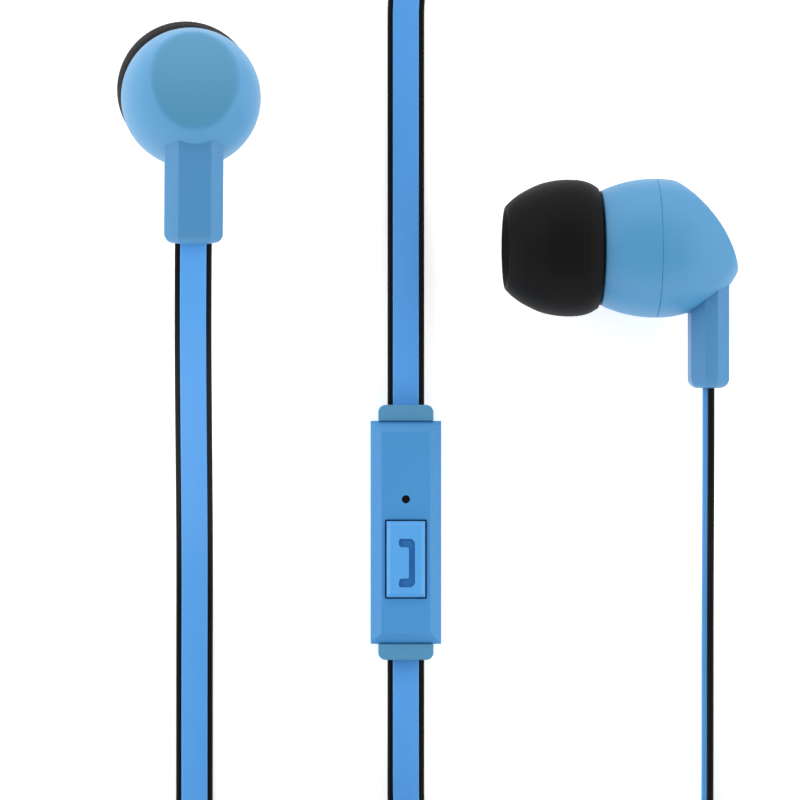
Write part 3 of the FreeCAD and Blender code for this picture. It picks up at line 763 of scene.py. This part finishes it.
def softened(node, width, material, rides, name, sharp=30, segments=3):
    """A node's own shape with its sharp edges rounded over, as a moulding's are."""
    body = bmesh.new()
    body.from_mesh(nodes[node].data)
    bmesh.ops.remove_doubles(body, verts=body.verts, dist=weld_gap)
    bmesh.ops.dissolve_limit(body, angle_limit=math.radians(flat_angle), verts=body.verts,
                             edges=body.edges)
    edges = [e for e in body.edges
             if len(e.link_faces) == 2 and e.calc_face_angle(0) > math.radians(sharp)]
    bmesh.ops.bevel(body, geom=edges, offset=width * MM, segments=segments, profile=0.5, affect="EDGES",
                    clamp_overlap=True)
    body.transform(Matrix.Scale(1 / MM, 4))
    return finished(name, body, Matrix.Identity(4), [material], rides, [node], sharp=24)


for side in bud_places:
    softened(side + "_stem", 0.1, stem_blue, "headset", side + "_stem_moulding")


# ---- Remote ----
# The inline remote is a two-part case of blue plastic, with mitred bevels round its face, a hole for
# the microphone and a sprung button. A collar at each end holds the cable.

remote_blue = moulded("remote_blue", (0.058, 0.26, 0.56), 0.4, grain=5200, depth=0.18, drift=0.02,
                      Specular_IOR_Level=0.3)
collar_blue = moulded("collar_blue", (0.08, 0.26, 0.44), 0.42, grain=5200, depth=0.16, drift=0.02,
                      Specular_IOR_Level=0.3)
switch_black = moulded("switch_black", (0.012, 0.012, 0.013), 0.5, grain=5000, depth=0.15, drift=0.1)
brass_colour = (0.6, 0.43, 0.2)
mic_brass = moulded("mic_brass", brass_colour, 0.3, grain=8000, depth=0.12, drift=0.08, Metallic=1.0)
gasket_black = moulded("gasket_black", (0.008, 0.008, 0.008), 0.7, grain=3000, depth=0.2, drift=0.1)

# A black disc is painted on the microphone's can under the hole in the case: painted shade, so the hole looks
# dark.
hole_shade_r = 1.2
hole_shade_black = (0.004, 0.004, 0.004, 1)
mic_low, mic_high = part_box("remote_microphone")
mic_tree = mic_brass.node_tree
mic_shader = mic_tree.nodes["Principled BSDF"]
mic_place = mic_tree.nodes.new("ShaderNodeTexCoord")
mic_axis = mic_tree.nodes.new("ShaderNodeVectorMath")
mic_axis.operation = "MULTIPLY"
mic_axis.inputs[1].default_value = (1, 1, 0)
mic_reach = mic_tree.nodes.new("ShaderNodeVectorMath")
mic_reach.operation = "DISTANCE"
mic_reach.inputs[1].default_value = ((mic_low.x + mic_high.x) / 2, (mic_low.y + mic_high.y) / 2, 0)
# Inside the disc the can is black and not metal: painted shade under the hole.
mic_hole_shade = mic_tree.nodes.new("ShaderNodeMath")
mic_hole_shade.operation = "LESS_THAN"
mic_hole_shade.inputs[1].default_value = hole_shade_r * MM
mic_metal = mic_tree.nodes.new("ShaderNodeMath")
mic_metal.operation = "SUBTRACT"
mic_metal.inputs[0].default_value = 1
mic_colour = mic_tree.nodes.new("ShaderNodeMix")
mic_colour.data_type = "RGBA"
mic_colour.inputs["A"].default_value = (*brass_colour, 1)
mic_colour.inputs["B"].default_value = hole_shade_black
mic_group = next(n for n in mic_tree.nodes if n.type == "GROUP")
link_up(mic_tree,
        (mic_place.outputs["Object"], mic_axis.inputs[0]), (mic_axis.outputs[0], mic_reach.inputs[0]),
        (mic_reach.outputs["Value"], mic_hole_shade.inputs[0]), (mic_hole_shade.outputs[0], mic_metal.inputs[1]),
        (mic_metal.outputs[0], mic_shader.inputs["Metallic"]),
        (mic_hole_shade.outputs[0], mic_colour.inputs["Factor"]),
        (mic_colour.outputs["Result"], mic_group.inputs["Colour"]))

remote_pieces = [
    softened("remote_front_cover", 0.09, remote_blue, "headset", "remote_front_shell"),
    softened("remote_back_cover", 0.09, remote_blue, "headset", "remote_back_shell"),
    softened("remote_upper_collar", 0.12, collar_blue, "headset", "remote_top_collar"),
    softened("remote_lower_collar", 0.12, collar_blue, "headset", "remote_foot_collar"),
]
for node, material in (("remote_pcb", board_green), ("remote_switch_body", switch_black),
                       ("remote_switch_plunger", switch_black), ("remote_microphone", mic_brass),
                       ("remote_mic_gasket", gasket_black)):
    refinish(node, material)
    remote_pieces.append(node)


# ---- Remote button ----
# A long blue button with bevelled edges stands a little proud of the case. A telephone handset is
# sunk into its top, and a flange under it keeps it in the case.

button_low, button_high = (Vector(v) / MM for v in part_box("remote_button"))
button_top_w = 3.6
button_top_l = 7.1
button_y = (button_low.y + button_high.y) / 2
button_x = (button_low.x + button_high.x) / 2
button_bevel = 0.35
flange_w = 0.5
flange_t = 0.35
sign_depth = 0.22
handset = [(-0.66, 1.68), (-0.6, 1.84), (-0.48, 1.91), (0.45, 1.91), (0.62, 1.84), (0.8, 1.62), (0.85, 1.45),
           (0.85, -2.2), (0.8, -2.38), (0.62, -2.56), (0.45, -2.63), (-0.48, -2.63), (-0.6, -2.57),
           (-0.66, -2.4), (-0.63, -2.05), (-0.55, -1.87), (-0.42, -1.82), (0.2, -1.8), (0.29, -1.7),
           (0.29, 0.95), (0.22, 1.07), (0.05, 1.12), (-0.42, 1.12), (-0.58, 1.2), (-0.65, 1.4)]

button_blue = moulded("button_blue", (0.087, 0.335, 0.71), 0.38, grain=5200, depth=0.16, drift=0.02,
                      Specular_IOR_Level=0.3)
# The floor of the sunk handset is a darker blue: painted shade in the recess.
handset_recess_shade = moulded("handset_recess_shade", (0.028, 0.15, 0.4), 0.5, grain=5200, depth=0.16, drift=0.02,
                    Specular_IOR_Level=0.2)


def button_moulding():
    """The button from its flange up to its bevelled top, with the handset sunk into the top."""
    body = bmesh.new()
    top = button_high.z
    under = button_low.z
    half_w = button_top_w / 2
    half_l = button_top_l / 2
    levels = [(under, half_w + flange_w, half_l + flange_w),
              (under + flange_t, half_w + flange_w, half_l + flange_w),
              (under + flange_t, half_w, half_l), (top - button_bevel, half_w, half_l)]
    for share in (0.08, 0.5, 0.92, 1):
        levels.append((top - button_bevel * (1 - share), half_w - button_bevel * share,
                       half_l - button_bevel * share))
    loops = []
    for z, w, l in levels:
        loops.append([body.verts.new((button_x + sx * w, button_y + sy * l, z))
                      for sx, sy in ((-1, -1), (1, -1), (1, 1), (-1, 1))])
    body.faces.new(loops[0][::-1])
    for low, high in zip(loops, loops[1:]):
        for k in range(4):
            n = (k + 1) % 4
            body.faces.new((low[k], low[n], high[n], high[k]))
    edge = [body.verts.new((button_x + x, button_y + y, top)) for x, y in handset]
    floor = [body.verts.new((button_x + x, button_y + y, top - sign_depth)) for x, y in handset]
    for k in range(len(edge)):
        n = (k + 1) % len(edge)
        body.faces.new((edge[k], edge[n], floor[n], floor[k]))
    for rings in ((loops[-1], edge), (floor,)):
        lines = [body.edges.get((ring[k - 1], ring[k])) for ring in rings for k in range(len(ring))]
        made = bmesh.ops.triangle_fill(body, use_beauty=True, use_dissolve=False, edges=lines,
                                       normal=(0, 0, 1))
        for face in made["geom"]:
            if isinstance(face, bmesh.types.BMFace):
                # The recess floor takes the darker blue of painted shade.
                face.material_index = 1 if rings[0] is floor else 0
    return body


remote_pieces.append(finished("button", button_moulding(), Matrix.Identity(4), [button_blue, handset_recess_shade],
                              "call_button", ["remote_button"], sharp=30))
laid_cable("right_branch_lower", right_lower, right_lower_lie, ["right_cable_lower"])


# ---- Splitter ----
# A soft-edged block of blue plastic moulded round the place where the two branches join the main
# cable.

splitter_blue = moulded("splitter_blue", (0.06, 0.265, 0.56), 0.42, grain=5200, depth=0.16, drift=0.02,
                        Specular_IOR_Level=0.3)
main_pieces = [softened("splitter", 0.45, splitter_blue, "headset", "splitter_block",
                        segments=5)]


# ---- Plug ----
# A 3.5 mm plug with four gold contacts and black insulating rings, in a blue grip with finger
# ribs, and a black strain relief of stacked ribs down to the cable.

contact_gold = moulded("contact_gold", (0.86, 0.6, 0.24), 0.2, grain=9000, depth=0.06, drift=0.05,
                       Metallic=1.0)
insulator_black = moulded("insulator_black", (0.01, 0.01, 0.011), 0.35, grain=6000, depth=0.1, drift=0.1)
plug_blue = moulded("plug_blue", (0.06, 0.265, 0.56), 0.42, grain=5200, depth=0.16, drift=0.02,
                    Specular_IOR_Level=0.3)
plug_black = moulded("plug_black", (0.008, 0.008, 0.009), 0.5, grain=5000, depth=0.14, drift=0.1)
for node in ("plug_tip", "plug_ring_1", "plug_ring_2", "plug_sleeve"):
    refinish(node, contact_gold)
    main_pieces.append(node)
for node in ("plug_insulator_1", "plug_insulator_2", "plug_insulator_3"):
    refinish(node, insulator_black)
    main_pieces.append(node)

grip_low, grip_high = (Vector(v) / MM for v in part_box("plug_grip"))
grip_r = (grip_high.z - grip_low.z) / 2
grip_l = grip_high.x - grip_low.x
plug_middle = (grip_low + grip_high) / 2
relief_low, relief_high = (Vector(v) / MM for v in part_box("plug_strain_relief"))
relief_l = relief_high.x - relief_low.x
relief_r = (relief_high.z - relief_low.z) / 2
relief_end_r = 2.0
relief_core_in = 0.45
rib_count = 8
rib_r = 0.3
grip_round = 0.8
grip_end_in = 1.1
grip_straight = 1.2
groove_depth = 0.28
groove_from = 3.2
groove_pitch = 1.45
groove_count = 5
groove_end = groove_from + groove_count * groove_pitch
groove_steps = 120

ribs, ribs_in, ribs_out = tree_of("stacked_ribs", {"First Radius": 1.0, "Last Radius": 0.8, "Length": 1.0,
                                                   "Count": 5, "Rib": 0.1})
places = ribs.nodes.new("GeometryNodeMeshLine")
places.mode = "END_POINTS"
line_end = ribs.nodes.new("ShaderNodeCombineXYZ")
number = ribs.nodes.new("GeometryNodeInputIndex")
share_of = ribs.nodes.new("ShaderNodeMath")
share_of.operation = "DIVIDE"
last = ribs.nodes.new("ShaderNodeMath")
last.operation = "SUBTRACT"
last.inputs[1].default_value = 1
radius_at = ribs.nodes.new("ShaderNodeMix")
ring_scale = ribs.nodes.new("ShaderNodeCombineXYZ")
ring_scale.inputs["Z"].default_value = 1
ring_line = ribs.nodes.new("GeometryNodeCurvePrimitiveCircle")
ring_line.inputs["Resolution"].default_value = 64
ring_line.inputs["Radius"].default_value = 1
ring_round = ribs.nodes.new("GeometryNodeCurvePrimitiveCircle")
ring_round.inputs["Resolution"].default_value = 12
ring_mesh = ribs.nodes.new("GeometryNodeCurveToMesh")
set_rings = ribs.nodes.new("GeometryNodeInstanceOnPoints")
set_rings.inputs["Rotation"].default_value = (0, math.pi / 2, 0)
rings_real = ribs.nodes.new("GeometryNodeRealizeInstances")
rings_painted = ribs.nodes.new("GeometryNodeSetMaterial")
rings_painted.inputs["Material"].default_value = plug_black
link_up(ribs,
        (ribs_in.outputs["Length"], line_end.inputs["X"]), (line_end.outputs[0], places.inputs["Offset"]),
        (ribs_in.outputs["Count"], places.inputs["Count"]),
        (number.outputs[0], share_of.inputs[0]), (ribs_in.outputs["Count"], last.inputs[0]),
        (last.outputs[0], share_of.inputs[1]), (share_of.outputs[0], radius_at.inputs["Factor"]),
        (ribs_in.outputs["First Radius"], radius_at.inputs["A"]),
        (ribs_in.outputs["Last Radius"], radius_at.inputs["B"]),
        (radius_at.outputs["Result"], ring_scale.inputs["X"]),
        (radius_at.outputs["Result"], ring_scale.inputs["Y"]),
        (ribs_in.outputs["Rib"], ring_round.inputs["Radius"]),
        (ring_line.outputs["Curve"], ring_mesh.inputs["Curve"]),
        (ring_round.outputs["Curve"], ring_mesh.inputs["Profile Curve"]),
        (places.outputs[0], set_rings.inputs["Points"]), (ring_mesh.outputs[0], set_rings.inputs["Instance"]),
        (ring_scale.outputs[0], set_rings.inputs["Scale"]),
        (set_rings.outputs[0], rings_real.inputs[0]),
        (rings_real.outputs[0], rings_painted.inputs["Geometry"]),
        (rings_painted.outputs[0], ribs_out.inputs[0]))


def grip_moulding():
    """The grip, turned: soft ends and five shallow finger grooves in its middle."""
    outline = [(0, 0), (0, grip_r - grip_end_in)]
    for k in range(7):
        angle = math.radians(15 * k)
        outline.append((grip_round - grip_round * math.cos(angle),
                        grip_r - grip_round + grip_round * math.sin(angle)))
    for k in range(groove_steps + 1):
        x = grip_straight + (grip_l - 2 * grip_straight) * k / groove_steps
        in_grooves = groove_from < x < groove_end
        wave = math.sin(math.pi * (x - groove_from) / groove_pitch) ** 2 if in_grooves else 0
        outline.append((x, grip_r - groove_depth * wave ** 2))
    for k in range(7):
        angle = math.radians(90 - 15 * k)
        outline.append((grip_l - grip_round + grip_round * math.cos(angle),
                        grip_r - grip_round + grip_round * math.sin(angle)))
    outline += [(grip_l, grip_r - grip_end_in), (grip_l, 0)]
    return lathed(outline, 96)


grip_place = Matrix.Translation((grip_low.x, plug_middle.y, plug_middle.z))
main_pieces.append(finished("grip", grip_moulding(), grip_place, [plug_blue], "headset",
                            ["plug_grip"]))

relief_core = lathed([(0, 0), (0, relief_r - relief_core_in), (relief_l - 0.1, relief_end_r - 0.35),
                      (relief_l, relief_end_r - relief_core_in), (relief_l, 0)], 64)
relief_rings = grown("relief", ribs, {"First Radius": relief_r - rib_r, "Last Radius": relief_end_r - rib_r,
                                      "Length": relief_l - 2 * rib_r, "Count": rib_count, "Rib": rib_r})
relief_rings.transform(Matrix.Translation((rib_r, 0, 0)))
rings_mesh = bpy.data.meshes.new("relief_rings")
relief_rings.to_mesh(rings_mesh)
relief_rings.free()
relief_core.from_mesh(rings_mesh)
bpy.data.meshes.remove(rings_mesh)
relief_place = Matrix.Translation((relief_low.x, plug_middle.y, plug_middle.z))
main_pieces.append(finished("strain_relief", relief_core, relief_place, [plug_black], "headset",
                            ["plug_strain_relief"]))
laid_cable("main_cable", main_route, [on_edge] * len(main_route),
           ["main_cable_start", "main_cable_coil", "main_cable_end"])
